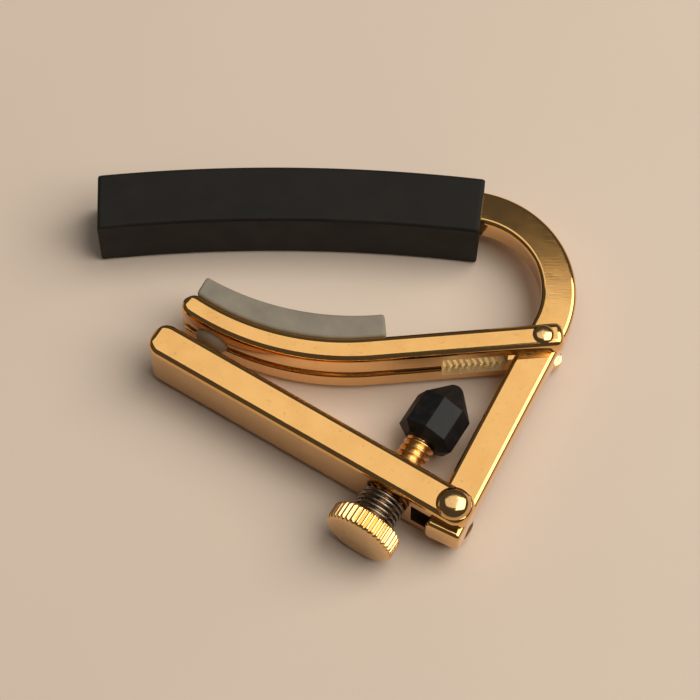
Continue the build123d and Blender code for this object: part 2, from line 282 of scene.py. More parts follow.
def rounded_ring(half_width, half_height, radius):
    """Sideways and upward offsets round a rectangle with rounded corners."""
    points = []
    for quarter, (right, top) in enumerate(((1, 1), (-1, 1), (-1, -1), (1, -1))):
        for step in range(CORNER_STEPS + 1):
            angle = math.radians(90 * (quarter + step / CORNER_STEPS))
            sideways = right * (half_width - radius) + radius * math.cos(angle)
            upward = top * (half_height - radius) + radius * math.sin(angle)
            points.append((sideways, upward))
    return points


def inset(distance, radius):
    """How far a rounded end has drawn in at a distance from that end."""
    if distance >= radius:
        return 0.0
    return radius - math.sqrt(radius ** 2 - (radius - distance) ** 2)


def end_distances(radius):
    """Distances from an end that follow its rounding evenly."""
    turns = [math.radians(90 * step / END_STEPS) for step in range(END_STEPS + 1)]
    return [radius * (1 - math.cos(turn)) for turn in turns]


class Path:
    """Pairs of points down the two sides of a bar, reached by distance along its middle."""

    def __init__(self, pairs):
        self.pairs = pairs
        self.places = [0.0]
        for before, after in zip(pairs, pairs[1:]):
            move = (after[0] + after[1] - before[0] - before[1]).length / 2
            self.places.append(self.places[-1] + move)
        self.length = self.places[-1]

    def at(self, distance):
        """The two side points at a distance along the path."""
        for index in range(1, len(self.places)):
            if self.places[index] >= distance or index == len(self.places) - 1:
                break
        start, end = self.places[index - 1], self.places[index]
        share = (distance - start) / (end - start)
        return [a.lerp(b, share) for a, b in zip(self.pairs[index - 1], self.pairs[index])]


def bar_rings(path, height, edge_round, start_round, end_round):
    """Rings of a bar that follows a path, its long edges and its ends rounded."""
    stops = set(path.places)
    for radius in {edge_round, start_round}:
        stops |= set(end_distances(radius))
    for radius in {edge_round, end_round}:
        stops |= {path.length - distance for distance in end_distances(radius)}
    stops = sorted(stop for stop in stops if -1e-9 <= stop <= path.length + 1e-9)
    rings = []
    previous = -1.0
    for stop in stops:
        if stop - previous < 1e-6:
            continue
        previous = stop
        rings.append(bar_ring(path, stop, height, edge_round, start_round, end_round))
    return rings


def bar_ring(path, stop, height, edge_round, start_round, end_round):
    """One ring of a bar at a distance along its path."""
    left, right = path.at(min(max(stop, 0.0), path.length))
    to_end = path.length - stop
    middle = (left + right) / 2
    sideways = (left - right).normalized()
    half_width = (left - right).length / 2 - inset(stop, start_round) - inset(to_end, end_round)
    half_height = height / 2 - inset(stop, edge_round) - inset(to_end, edge_round)
    radius = min(edge_round, half_width, half_height) * 0.999
    offsets = rounded_ring(half_width, half_height, radius)
    return [middle + sideways * across + UP * rise for across, rise in offsets]


def revolved(profile, segments=ROUND_SEGMENTS, radius_at=None):
    """Points and faces of a turned shape; profile lists (radius, height) from axis to axis."""
    rings = []
    for radius, height in profile:
        ring = []
        for index in range(segments):
            angle = 2 * math.pi * index / segments
            reach = radius_at(radius, height, angle) if radius_at else radius
            ring.append(Vector((reach * math.cos(angle), reach * math.sin(angle), height)))
        rings.append(ring)
    return capped(rings)


def box_shape(u_range, v_range, w_range):
    """Points and faces of a box given by its range in each direction."""
    points = [Vector((u, v, w)) for w in w_range for v in v_range for u in u_range]
    faces = [(0, 1, 3, 2), (4, 5, 7, 6), (0, 1, 5, 4), (2, 3, 7, 6), (0, 2, 6, 4), (1, 3, 7, 5)]
    return points, faces


def rod_shape(diameter, start, end):
    """Points and faces of a plain rod along Z."""
    return revolved([(diameter / 2, start), (diameter / 2, end)])


def baked(obj):
    """Apply every modifier of an object to its mesh."""
    graph = bpy.context.evaluated_depsgraph_get()
    mesh = bpy.data.meshes.new_from_object(obj.evaluated_get(graph))
    obj.modifiers.clear()
    obj.data = mesh
    return obj


def combined(obj, tools, operation="DIFFERENCE"):
    """Cut tools out of an object, or join them to it, and remove them."""
    for tool in tools:
        change = obj.modifiers.new(tool.name, "BOOLEAN")
        change.operation = operation
        change.solver = "EXACT"
        change.object = tool
    baked(obj)
    for tool in tools:
        bpy.data.objects.remove(tool)
    return obj


def shaded(obj, angle=SMOOTH_ANGLE):
    """Smooth shading that keeps corners sharp and large faces flat."""
    obj.data.shade_smooth()
    obj.data.set_sharp_from_angle(angle=angle)
    for face in obj.data.polygons:
        if abs(face.normal.z) > LEVEL:
            face.use_smooth = False
    weighted = obj.modifiers.new("flat_faces", "WEIGHTED_NORMAL")
    weighted.keep_sharp = True
    weighted.weight = 90
    return baked(obj)


def settle(obj, material, body, slot, *nodes):
    """Give a finished piece its material, its body and the CAD nodes that it stands for."""
    obj.data.materials.clear()
    obj.data.materials.append(material)
    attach(obj, body)
    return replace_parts(obj, *nodes)


# ---------------------------------------------------------------- materials

SLOT_REGION_START = 0.3 * MM
# Painted light: the paler colour of the arm's slot stands in for the light that its milled floor catches.
SLOT_PAINTED_LIGHT = (0.95, 0.76, 0.45)
SLOT_ROUGHER = 0.35
# Painted shade: the dark colour of the lever's fork stands in for the shade inside it.
FORK_PAINTED_SHADE = (0.09, 0.055, 0.025)
FORK_ROUGHER = 0.5
# Each brass: its brighter and its deeper colour, and its range of roughness.
POLISHED_BRASS = ((0.86, 0.50, 0.165), (0.80, 0.44, 0.135), (0.05, 0.08))
TURNED_BRASS = ((0.86, 0.54, 0.22), (0.74, 0.44, 0.16), (0.22, 0.30))
RIVET_BRASS = ((0.78, 0.50, 0.21), (0.70, 0.42, 0.16), (0.1, 0.16))
STAIN = (0.50, 0.27, 0.09)


class Shader:
    """A node material under construction."""

    def __init__(self, name):
        self.material = bpy.data.materials.new(name)
        self.material.use_nodes = True
        self.nodes = self.material.node_tree.nodes
        self.links = self.material.node_tree.links
        self.principled = self.nodes["Principled BSDF"]
        self.place = self.nodes.new("ShaderNodeTexCoord").outputs["Object"]

    def set(self, **values):
        """Set plain values on the shader's own sockets."""
        for name, value in values.items():
            self.principled.inputs[name.replace("_", " ")].default_value = value

    def mapped(self, degrees=0.0, scale=(1, 1, 1)):
        """Object coordinates turned about Z and stretched."""
        node = self.nodes.new("ShaderNodeMapping")
        node.vector_type = "TEXTURE"
        node.inputs["Rotation"].default_value = (0, 0, math.radians(degrees))
        node.inputs["Scale"].default_value = scale
        self.links.new(self.place, node.inputs["Vector"])
        return node.outputs["Vector"]

    def noise(self, size, detail=3.0, vector=None, roughness=0.5):
        """Noise whose features are about this size, in metres."""
        node = self.nodes.new("ShaderNodeTexNoise")
        node.inputs["Scale"].default_value = 1.0 / size
        node.inputs["Detail"].default_value = detail
        node.inputs["Roughness"].default_value = roughness
        self.links.new(vector or self.place, node.inputs["Vector"])
        return node.outputs["Fac"]

    def ranged(self, value, low, high, from_low=0.3, from_high=0.7):
        """A value moved from one range into another."""
        node = self.nodes.new("ShaderNodeMapRange")
        node.inputs["From Min"].default_value = from_low
        node.inputs["From Max"].default_value = from_high
        node.inputs["To Min"].default_value = low
        node.inputs["To Max"].default_value = high
        self.links.new(value, node.inputs["Value"])
        return node.outputs["Result"]

    def blended(self, share, first, second):
        """A colour between two, each a colour or an output."""
        node = self.nodes.new("ShaderNodeMix")
        node.data_type = "RGBA"
        self.links.new(share, node.inputs["Factor"])
        for socket, colour in (("A", first), ("B", second)):
            target = next(s for s in node.inputs if s.name == socket and s.type == "RGBA")
            if isinstance(colour, tuple):
                target.default_value = (*colour, 1)
            else:
                self.links.new(colour, target)
        return next(s for s in node.outputs if s.type == "RGBA")

    def summed(self, first, second, weight):
        """First plus weight times second."""
        node = self.nodes.new("ShaderNodeMath")
        node.operation = "MULTIPLY_ADD"
        self.links.new(second, node.inputs[0])
        node.inputs[1].default_value = weight
        self.links.new(first, node.inputs[2])
        return node.outputs["Value"]

    def inside(self, origin, degrees, low, high):
        """One inside a box given in a level frame with this origin and turn, zero outside."""
        node = self.nodes.new("ShaderNodeMapping")
        node.vector_type = "TEXTURE"
        node.inputs["Location"].default_value = origin
        node.inputs["Rotation"].default_value = (0, 0, math.radians(degrees))
        self.links.new(self.place, node.inputs["Vector"])
        split = self.nodes.new("ShaderNodeSeparateXYZ")
        self.links.new(node.outputs["Vector"], split.inputs["Vector"])
        share = None
        for output, least, most in zip(split.outputs, low, high):
            test = self.nodes.new("ShaderNodeMath")
            test.operation = "COMPARE"
            self.links.new(output, test.inputs[0])
            test.inputs[1].default_value = (least + most) / 2
            test.inputs[2].default_value = (most - least) / 2
            share = self.multiplied(share, test.outputs["Value"]) if share else test.outputs["Value"]
        return share

    def multiplied(self, first, second):
        """The product of two values."""
        node = self.nodes.new("ShaderNodeMath")
        node.operation = "MULTIPLY"
        self.links.new(first, node.inputs[0])
        self.links.new(second, node.inputs[1])
        return node.outputs["Value"]

    def bump(self, height, depth, strength=1.0):
        """Surface relief of a real depth, in metres."""
        node = self.nodes.new("ShaderNodeBump")
        node.inputs["Strength"].default_value = strength
        node.inputs["Distance"].default_value = depth
        self.links.new(height, node.inputs["Height"])
        self.links.new(node.outputs["Normal"], self.principled.inputs["Normal"])

    def connect(self, output, name):
        """Feed an output into one of the shader's sockets."""
        self.links.new(output, self.principled.inputs[name])


def brass(name, degrees=0.0, kind=POLISHED_BRASS, painted_recess=None):
    """Lacquered brass: soft clouding, fine lengthwise scratches, a few darker specks, and, when a recess is
    given, painted light (the arm's slot) and painted shade (the lever's fork) there.
    """
    bright, deep, rough = kind
    shader = Shader(name)
    shader.set(Metallic=1.0, Coat_Weight=0.5, Coat_Roughness=0.1, Coat_IOR=1.5)
    clouds = shader.noise(4.5 * MM, 4.0)
    specks = shader.noise(0.8 * MM, 2.0)
    along = shader.mapped(degrees, (18, 1, 1))
    scratches = shader.noise(0.16 * MM, 3.0, along, 0.6)
    colour = shader.blended(shader.ranged(clouds, 0.0, 1.0), bright, deep)
    stains_and_painted_light = shader.blended(shader.ranged(specks, 0.0, 0.35, 0.62, 0.74), colour, STAIN)
    mixed = shader.summed(shader.ranged(clouds, *rough), shader.ranged(scratches, -0.5, 0.5), 0.03)
    # Paint the given recess: painted light in the arm's slot, painted shade in the lever's fork.
    if painted_recess:
        box, painted_tint, rougher = painted_recess
        share = shader.inside(*box)
        stains_and_painted_light = shader.blended(share, stains_and_painted_light, painted_tint)
        mixed = shader.summed(mixed, share, rougher)
    shader.connect(stains_and_painted_light, "Base Color")
    shader.connect(mixed, "Roughness")
    relief = shader.summed(scratches, clouds, 4.0)
    shader.bump(relief, 0.0015 * MM)
    return shader.material


def slot_painted_light_region():
    """The box round the arm's slot, where the brass is rougher and painted paler: painted light that the
    milled slot catches.
    """
    half = SLOT_WIDTH / 2 + SKIN
    low = (-CUT_MARGIN, SLOT_REGION_START, -half)
    return ARM_PIVOT, ARM_ANGLE, low, (SLOT_LENGTH + SKIN, CUT_MARGIN, half)


def fork_painted_shade_region():
    """The box round the lever's fork, where the brass is rougher and painted darker: painted shade inside
    the fork.
    """
    half = SLOT_WIDTH / 2 + SKIN
    low = (-CUT_MARGIN, -CUT_MARGIN, -half)
    return LEVER_PIVOT, LEVER_ANGLE, low, (FORK_DEPTH + SKIN, CUT_MARGIN, half)


def black_rubber():
    """Matte extruded rubber: faint lengthwise streaks, fine grain, dusty patches."""
    shader = Shader("black_rubber")
    shader.set(Specular_IOR_Level=0.12)
    streaks = shader.noise(0.5 * MM, 3.0, shader.mapped(0, (14, 1, 1)))
    dust = shader.noise(5.0 * MM, 5.0)
    grain = shader.noise(0.12 * MM, 2.0)
    colour = shader.blended(shader.ranged(dust, 0.0, 1.0), (0.0135, 0.0125, 0.0105), (0.019, 0.0175, 0.015))
    shader.connect(colour, "Base Color")
    shader.connect(shader.summed(shader.ranged(dust, 0.42, 0.58), streaks, 0.08), "Roughness")
    shader.bump(shader.summed(grain, streaks, 0.6), 0.012 * MM)
    return shader.material


def grey_rubber():
    """Moulded grey rubber: even, matte, with a fine grain and slight mottling."""
    shader = Shader("grey_rubber")
    shader.set(Specular_IOR_Level=0.3)
    mottling = shader.noise(3.0 * MM, 5.0)
    grain = shader.noise(0.1 * MM, 2.0)
    colour = shader.blended(shader.ranged(mottling, 0.0, 1.0), (0.234, 0.204, 0.157), (0.29, 0.258, 0.199))
    shader.connect(colour, "Base Color")
    shader.connect(shader.ranged(mottling, 0.5, 0.65), "Roughness")
    shader.bump(grain, 0.012 * MM)
    return shader.material


def black_plastic():
    """Satin moulded plastic of the screw tip."""
    shader = Shader("black_plastic")
    shader.set(Specular_IOR_Level=0.22)
    wear = shader.noise(1.2 * MM, 5.0)
    grain = shader.noise(0.15 * MM, 2.0)
    worn = shader.ranged(wear, 0.0, 1.0, 0.45, 0.75)
    colour = shader.blended(worn, (0.008, 0.008, 0.008), (0.02, 0.02, 0.02))
    shader.connect(colour, "Base Color")
    shader.connect(shader.ranged(wear, 0.42, 0.55), "Roughness")
    shader.bump(grain, 0.008 * MM)
    return shader.material


def spring_steel():
    """Drawn, slightly darkened spring wire."""
    shader = Shader("spring_steel")
    shader.set(Metallic=1.0)
    patches = shader.noise(0.9 * MM, 3.0)
    drawing = shader.noise(0.08 * MM, 2.0)
    colour = shader.blended(shader.ranged(patches, 0.0, 1.0), (0.30, 0.28, 0.26), (0.15, 0.13, 0.11))
    shader.connect(colour, "Base Color")
    shader.connect(shader.ranged(patches, 0.22, 0.34), "Roughness")
    shader.bump(drawing, 0.004 * MM)
    return shader.material


def paper_floor():
    """The pale warm surface that the capo lies on."""
    shader = Shader("paper_floor")
    shader.set(Specular_IOR_Level=0.15, Roughness=0.8)
    tone = shader.noise(60 * MM, 3.0)
    grain = shader.noise(0.5 * MM, 3.0)
    colour = shader.blended(shader.ranged(tone, 0.0, 1.0), FLOOR_COLOUR, FLOOR_COLOUR_DEEP)
    shader.connect(colour, "Base Color")
    shader.bump(grain, 0.01 * MM)
    return shader.material


# ---------------------------------------------------------------- pieces

def arc_pairs(outer, inner, start, end):
    """Side points along two arcs; each arc is (centre, radius)."""
    count = steps_for(outer[1] * math.radians(abs(end - start)))
    pairs = []
    for step in range(count + 1):
        degrees = start + (end - start) * step / count
        pairs.append((on_circle(*outer, degrees), on_circle(*inner, degrees)))
    return pairs


def frame_path():
    """The two sides of the frame bar, from the bow's tip to the shank's end."""
    outer_bend = (BEND_CENTRE, BEND_OUTER_RADIUS)
    inner_bend = (BEND_CENTRE + BEND_INNER_SHIFT, BEND_INNER_RADIUS)
    pairs = bow_pairs()
    pairs += arc_pairs(outer_bend, inner_bend, BEND_START - BEND_FIRST_STEP, -SHANK_LEAN)
    for share in (0.25, 0.5, 0.75, 1.0):
        down = SHANK_DOWN * SHANK_LENGTH * share
        outer = BEND_CENTRE + SHANK_OUT * BEND_OUTER_RADIUS + down
        pairs.append((outer, BEND_CENTRE + SHANK_OUT * SHANK_INNER_LINE + down))
    return Path(pairs)


def bow_pairs():
    """The two sides of the bowed string arm."""
    outer = (BOW_CENTRE, BOW_OUTER_RADIUS)
    inner = (BOW_CENTRE, BOW_INNER_RADIUS)
    return arc_pairs(outer, inner, BOW_TIP_ANGLE, BEND_START)


def frame_bar(material):
    """The bent bar, drilled for both rivets."""
    rings = bar_rings(frame_path(), BAR_HEIGHT, BAR_ROUND, BAR_ROUND, SHANK_END_ROUND)
    bar = new_object("frame_bar_polished", *capped(rings))
    drills = [
        upright_rod(ARM_PIVOT, ARM_RIVET_DIAMETER),
        upright_rod(LEVER_PIVOT, LEVER_RIVET_DIAMETER),
    ]
    shaded(combined(bar, drills))
    return settle(bar, material, "frame", "brass_bar", "frame_bar")


def upright_rod(centre, diameter):
    """A long rod through a pivot, used as a drill."""
    place = Matrix.Translation(centre)
    return new_object("drill", *rod_shape(diameter, -DRILL_REACH, DRILL_REACH), place)


def sleeve_pairs():
    """The two sides of the sleeve; its free end is cut a little aslant."""
    count = steps_for(SLEEVE_OUTER_RADIUS * math.radians(SLEEVE_TIP_ANGLE - SLEEVE_ROOT_ANGLE))
    pairs = []
    for step in range(count + 1):
        share = step / count
        outer = SLEEVE_TIP_ANGLE + (SLEEVE_ROOT_ANGLE - SLEEVE_TIP_ANGLE) * share
        inner = SLEEVE_INNER_TIP_ANGLE + (SLEEVE_ROOT_ANGLE - SLEEVE_INNER_TIP_ANGLE) * share
        pairs.append((on_circle(BOW_CENTRE, SLEEVE_OUTER_RADIUS, outer),
                      on_circle(BOW_CENTRE, SLEEVE_INNER_RADIUS, inner)))
    return pairs


def string_sleeve(material):
    """The thick tube: outer skin, passage for the bar, softly rounded ends."""
    skin = bar_rings(Path(sleeve_pairs()), SLEEVE_HEIGHT, SLEEVE_ROUND, SLEEVE_END_ROUND, SLEEVE_END_ROUND)
    bar_sides = ((BOW_CENTRE, BOW_OUTER_RADIUS), (BOW_CENTRE, BOW_INNER_RADIUS))
    core_path = Path(arc_pairs(*bar_sides, BOW_TIP_ANGLE, SLEEVE_ROOT_ANGLE - PASSAGE_EXTRA_ANGLE))
    core_rings = bar_rings(core_path, BAR_HEIGHT, BAR_ROUND, PINPOINT, PINPOINT)
    sleeve = new_object("string_sleeve_rubber", *capped(skin))
    core = new_object("passage", *capped(core_rings))
    shaded(combined(sleeve, [core]))
    return settle(sleeve, material, "frame", "black_rubber", "string_sleeve")


def arm_path():
    """The two sides of the arm in its own frame, from the root to the free end."""
    pairs = []
    for step in range(STRAIGHT_STEPS + 1):
        back = ARM_ROOT_END + (ARM_BACK_STRAIGHT - ARM_ROOT_END) * step / STRAIGHT_STEPS
        front = ARM_ROOT_END + (ARM_PAD_STRAIGHT - ARM_ROOT_END) * step / STRAIGHT_STEPS
        pairs.append((Vector((front, ARM_PAD_EDGE, 0)), Vector((back, ARM_BACK_EDGE, 0))))
    count = steps_for(ARM_BACK_RADIUS * math.radians(ARM_BACK_SWEEP))
    for step in range(1, count + 1):
        share = step / count
        front = on_circle(arm_pad_centre(), ARM_PAD_RADIUS, ARM_PAD_SWEEP * share - 90)
        back = on_circle(arm_back_centre(), ARM_BACK_RADIUS, ARM_BACK_SWEEP * share - 90)
        pairs.append((front, back))
    return Path(pairs)


def arm_pad_centre():
    """Centre of the arm's curve on the pad's side."""
    return Vector((ARM_PAD_STRAIGHT, ARM_PAD_EDGE + ARM_PAD_RADIUS, 0))


def arm_back_centre():
    """Centre of the arm's curve on the side away from the neck."""
    return Vector((ARM_BACK_STRAIGHT, ARM_BACK_EDGE + ARM_BACK_RADIUS, 0))


def groove_cutter():
    """A bar that cuts the lengthwise groove under the arm."""
    pairs = [(Vector((SLOT_LENGTH - MM, ARM_BACK_EDGE + GROOVE_DEPTH, 0)),
              Vector((SLOT_LENGTH - MM, ARM_BACK_EDGE - 2 * MM, 0)))]
    floor = (arm_back_centre(), ARM_BACK_RADIUS - GROOVE_DEPTH)
    skirt = (arm_back_centre(), ARM_BACK_RADIUS + 2 * MM)
    pairs += arc_pairs(floor, skirt, -90, -40)
    rings = bar_rings(Path(pairs), GROOVE_WIDTH, GROOVE_CORNER, PINPOINT, PINPOINT)
    return new_object("groove", *capped(rings), ARM_FRAME)


def slot_cutter():
    """A block that cuts the arm's slot, its upper face shaped to the slot's ridged floor."""
    half = SLOT_WIDTH / 2
    start, end = ARM_ROOT_END - CUT_MARGIN, SLOT_LENGTH
    columns = steps_for(end - start, RIDGE_STEP)
    rings = []
    for column in range(columns + 1):
        u = start + (end - start) * column / columns
        top = []
        for row in range(RIDGE_ROWS + 1):
            w = half * (2 * row / RIDGE_ROWS - 1)
            top.append(Vector((u, slot_floor(u, w), w)))
        low = ARM_BACK_EDGE - 3 * MM
        rings.append(top + [Vector((u, low, half)), Vector((u, low, -half))])
    return new_object("slot", *capped(rings), ARM_FRAME)


def slot_floor(u, w):
    """Depth of the slot's ridged floor."""
    ridge = math.cos(2 * math.pi * (u + RIDGE_SLANT * w) / RIDGE_SPACING)
    return ARM_BACK_EDGE + SLOT_DEPTH - RIDGE_HALF_DEPTH * (1 - ridge)


def neck_arm(material):
    """The curved arm: grooved and slotted underneath, open at the root, drilled."""
    rings = bar_rings(arm_path(), STOCK_HEIGHT, ARM_EDGE_ROUND, ARM_ROOT_ROUND, ARM_FREE_ROUND)
    arm = new_object("neck_arm_polished", *capped(rings), ARM_FRAME)
    half = SLOT_WIDTH / 2
    root = box_shape((-2 * CUT_MARGIN, WEB_START), (-CUT_MARGIN, CUT_MARGIN), (-half, half))
    plug = rod_shape(PLUG_DIAMETER, -2 * MM, 8 * MM)
    tools = [
        groove_cutter(),
        slot_cutter(),
        new_object("root", *root, ARM_FRAME),
        upright_rod(ARM_PIVOT, ARM_RIVET_DIAMETER + 2 * CLEARANCE),
        new_object("plug_hole", *plug, ARM_FRAME @ plug_frame()),
    ]
    shaded(combined(arm, tools))
    return settle(arm, material, "arm", "brass_bar", "neck_arm")


def plug_frame():
    """A frame on the arm's pad side whose Z points out of the back, where the plug goes."""
    outward = on_circle(Vector(), 1, PLUG_SWEEP - 90)
    matrix = Matrix((UP, outward.cross(UP), outward)).transposed().to_4x4()
    matrix.translation = arm_pad_centre() + outward * ARM_PAD_RADIUS
    return matrix


def pad_under_point(share):
    """A point of the pad's lower side: first the arm's straight part, then its curve."""
    straight = ARM_PAD_STRAIGHT - PAD_ROOT_END
    place = share * (straight + ARM_PAD_RADIUS * math.radians(PAD_UNDER_SWEEP))
    if place < straight:
        return Vector((PAD_ROOT_END + place, ARM_PAD_EDGE, 0))
    degrees = math.degrees((place - straight) / ARM_PAD_RADIUS) - 90
    return on_circle(arm_pad_centre(), ARM_PAD_RADIUS, degrees)


def arm_thickness_at_plug():
    """How thick the arm is where the plug crosses it."""
    outward = on_circle(Vector(), 1, PLUG_SWEEP - 90)
    between = arm_pad_centre() - arm_back_centre()
    along = between.dot(outward)
    return math.sqrt(ARM_BACK_RADIUS ** 2 - between.length ** 2 + along ** 2) - along - ARM_PAD_RADIUS


def neck_pad(material):
    """The moulded pad with rounded upper edges, joined to its domed plug."""
    root = math.degrees(math.asin((PAD_ROOT_END - PAD_CENTRE.x) / PAD_RADIUS)) - 90
    count = steps_for(PAD_RADIUS * math.radians(PAD_SWEEP))
    pairs = []
    for step in range(count + 1):
        share = step / count
        pairs.append((on_circle(PAD_CENTRE, PAD_RADIUS, root + PAD_SWEEP * share), pad_under_point(share)))
    rings = bar_rings(Path(pairs), PAD_HEIGHT, PAD_EDGE_ROUND, PAD_EDGE_ROUND, PAD_EDGE_ROUND)
    pad = new_object("neck_pad_rubber", *capped(rings), ARM_FRAME)
    radius = PLUG_DIAMETER / 2
    reach = arm_thickness_at_plug() + PLUG_PROUD
    profile = [(radius, -PLUG_ROOT), (radius, reach - PLUG_DOME)]
    for step in range(1, PLUG_STEPS + 1):
        angle = math.radians(90 * step / PLUG_STEPS)
        width = PLUG_CROWN + (1 - PLUG_CROWN) * math.cos(angle)
        profile.append((radius * width, reach - PLUG_DOME * (1 - math.sin(angle))))
    plug = new_object("plug", *revolved(profile), ARM_FRAME @ plug_frame())
    shaded(combined(pad, [plug], "UNION"))
    return settle(pad, material, "arm", "grey_rubber", "neck_pad")


def lever(material):
    """The straight lever: forked root, drilled for its rivet and for the screw."""
    half = LEVER_WIDTH / 2
    pairs = []
    for step in range(STRAIGHT_STEPS + 1):
        u = LEVER_ROOT_END + (LEVER_LENGTH - LEVER_ROOT_END) * step / STRAIGHT_STEPS
        pairs.append((Vector((u, half, 0)), Vector((u, -half, 0))))
    rings = bar_rings(Path(pairs), STOCK_HEIGHT, ARM_EDGE_ROUND, LEVER_ROOT_ROUND, LEVER_FREE_ROUND)
    bar = new_object("lever_polished", *capped(rings), LEVER_FRAME)
    half_slot = SLOT_WIDTH / 2
    fork = box_shape((-2 * CUT_MARGIN, FORK_DEPTH), (-CUT_MARGIN, CUT_MARGIN), (-half_slot, half_slot))
    tapped = rod_shape(SCREW_DIAMETER + 2 * CLEARANCE, -CUT_MARGIN, CUT_MARGIN)
    tools = [
        new_object("fork", *fork, LEVER_FRAME),
        upright_rod(LEVER_PIVOT, LEVER_RIVET_DIAMETER + 2 * CLEARANCE),
        new_object("tapped", *tapped, SCREW_FRAME),
    ]
    shaded(combined(bar, tools))
    return settle(bar, material, "lever", "brass_bar", "lever")


def dome(diameter, rise, base):
    """Profile of a button head, from its rim to its nearly flat crown."""
    points = []
    for step in range(DOME_STEPS + 1):
        share = math.cos(math.radians(90 * step / DOME_STEPS))
        points.append((max(diameter / 2 * share, PINPOINT), base + rise * (1 - share ** 4)))
    return points


def rivet(name, pivot, diameter, head, rise, node, material):
    """A rivet: domed head above, low formed head below."""
    base = STOCK_HEIGHT / 2 + CLEARANCE
    back = dome(head, BACK_HEAD_RISE - CLEARANCE, base)
    profile = [(radius, -height) for radius, height in reversed(back)]
    profile += [(diameter / 2, -base), (diameter / 2, base)]
    profile += dome(head, rise - CLEARANCE, base)
    piece = new_object(name, *revolved(profile), Matrix.Translation(pivot))
    return settle(shaded(piece), material, "frame", "rivet_brass", node)


def thread_radius(radius, height, angle):
    """Radius of the right-hand thread's rounded profile."""
    if radius < SCREW_DIAMETER / 2 - 1e-6:
        return radius
    turn = (height / THREAD_PITCH - angle / (2 * math.pi)) % 1.0
    slope = abs(2 * turn - 1)
    groove = min(1.0, max(0.0, 1.25 * slope - 0.1))
    return radius - THREAD_DEPTH * groove ** 2 * (3 - 2 * groove)


def adjusting_screw(material):
    """The threaded screw with its plain spigot."""
    start, end = KNOB_BACK - KNOB_SOCKET, TIP_HEIGHTS[0] - TIP_GAP
    rows = round((end - start) / (THREAD_PITCH / THREAD_STEPS))
    radius = SCREW_DIAMETER / 2
    profile = [(radius - THREAD_DEPTH, start)]
    profile += [(radius, start + (end - start) * row / rows) for row in range(rows + 1)]
    spigot = SPIGOT_DIAMETER / 2
    profile += [(radius - THREAD_DEPTH, end), (spigot, end), (spigot, SPIGOT_TOP - SPIGOT_CHAMFER)]
    profile += [(spigot - SPIGOT_CHAMFER, SPIGOT_TOP)]
    turned = revolved(profile, THREAD_SEGMENTS, thread_radius)
    screw = new_object("adjusting_screw_threaded", *turned, SCREW_FRAME)
    return settle(shaded(screw, THREAD_SMOOTH_ANGLE), material, "screw", "brass_turned", "adjusting_screw")


def knurl_radius(radius, height, angle):
    """Radius of the straight knurl: ribs with grooves between them."""
    share = (angle * KNURL_RIBS / (2 * math.pi)) % 1.0
    groove = (0.5 + 0.5 * math.cos(2 * math.pi * share)) ** 2
    return min(radius, KNOB_DIAMETER / 2 - KNURL_DEPTH * groove)


def knob(material):
    """The knurled knob: bevelled rims, flat outer face, socket for the screw."""
    rim = KNOB_DIAMETER / 2
    back, face = KNOB_BACK, KNOB_BACK - KNOB_THICKNESS
    socket = SCREW_DIAMETER / 2
    profile = [(PINPOINT, back - KNOB_SOCKET), (socket, back - KNOB_SOCKET), (socket, back)]
    profile += [(rim - inward * MM, back - depth * MM) for inward, depth in KNOB_BACK_BEVEL]
    profile += [(rim, back - KNURL_START * MM - row * KNURL_ROW * MM) for row in range(KNURL_ROWS)]
    profile += [(rim - inward * MM, face + depth * MM) for inward, depth in KNOB_FACE_BEVEL]
    profile += [(PINPOINT, face)]
    turned = revolved(profile, KNURL_RIBS * KNURL_STEPS, knurl_radius)
    disc = new_object("knob_knurled", *turned, SCREW_FRAME)
    return settle(shaded(disc, KNURL_SMOOTH_ANGLE), material, "screw", "brass_turned", "knob")


def spring_height(share):
    """Height along the spring: closed end turns, open ones between."""
    low = KNOB_BACK + SPRING_WIRE / 2
    high = -LEVER_WIDTH / 2 - SPRING_WIRE / 2
    closed = SPRING_CLOSED_TURNS / SPRING_TURNS
    rise = SPRING_WIRE * SPRING_CLOSED_TURNS
    if share < closed:
        return low + rise * share / closed
    if share > 1 - closed:
        return high - rise * (1 - share) / closed
    return low + rise + (high - low - 2 * rise) * (share - closed) / (1 - 2 * closed)


def tension_spring(material):
    """The wire of the compression spring, wound right-handed."""
    coil = (SPRING_DIAMETER - SPRING_WIRE) / 2
    count = round(SPRING_TURNS * SPRING_STEPS)
    rings = []
    for step in range(count + 1):
        share = step / count
        angle = 2 * math.pi * SPRING_TURNS * share
        outward = Vector((math.cos(angle), math.sin(angle), 0))
        centre = outward * coil + UP * spring_height(share)
        ring = []
        for index in range(SPRING_SIDES):
            around = 2 * math.pi * index / SPRING_SIDES
            offset = outward * math.cos(around) + UP * math.sin(around)
            ring.append(centre + offset * SPRING_WIRE / 2)
        rings.append(ring)
    spring = new_object("tension_spring_coil", *capped(rings), SCREW_FRAME)
    shaded(spring, SPRING_SMOOTH_ANGLE)
    spring.data.materials.append(material)
    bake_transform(spring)
    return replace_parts(spring, "tension_spring")


def screw_tip(material):
    """The eight-sided cap with softened edges and a blind bore."""
    rings = []
    for radius, height in zip(TIP_RADII, TIP_HEIGHTS):
        ring = []
        for corner in range(8):
            angle = math.radians(45 * corner)
            ring.append(Vector((radius * math.cos(angle), radius * math.sin(angle), height)))
        rings.append(ring)
    tip = new_object("screw_tip_moulded", *capped(rings), SCREW_FRAME)
    soften = tip.modifiers.new("soft_edges", "BEVEL")
    soften.width = TIP_BEVEL
    soften.segments = 3
    soften.limit_method = "ANGLE"
    soften.angle_limit = TIP_BEVEL_ANGLE
    baked(tip)
    bore = rod_shape(SPIGOT_DIAMETER + 2 * CLEARANCE, 0, SPIGOT_TOP + CLEARANCE)
    combined(tip, [new_object("bore", *bore, SCREW_FRAME)])
    return settle(shaded(tip), material, "tip_carriage", "black_plastic", "screw_tip")


# ---------------------------------------------------------------- studio

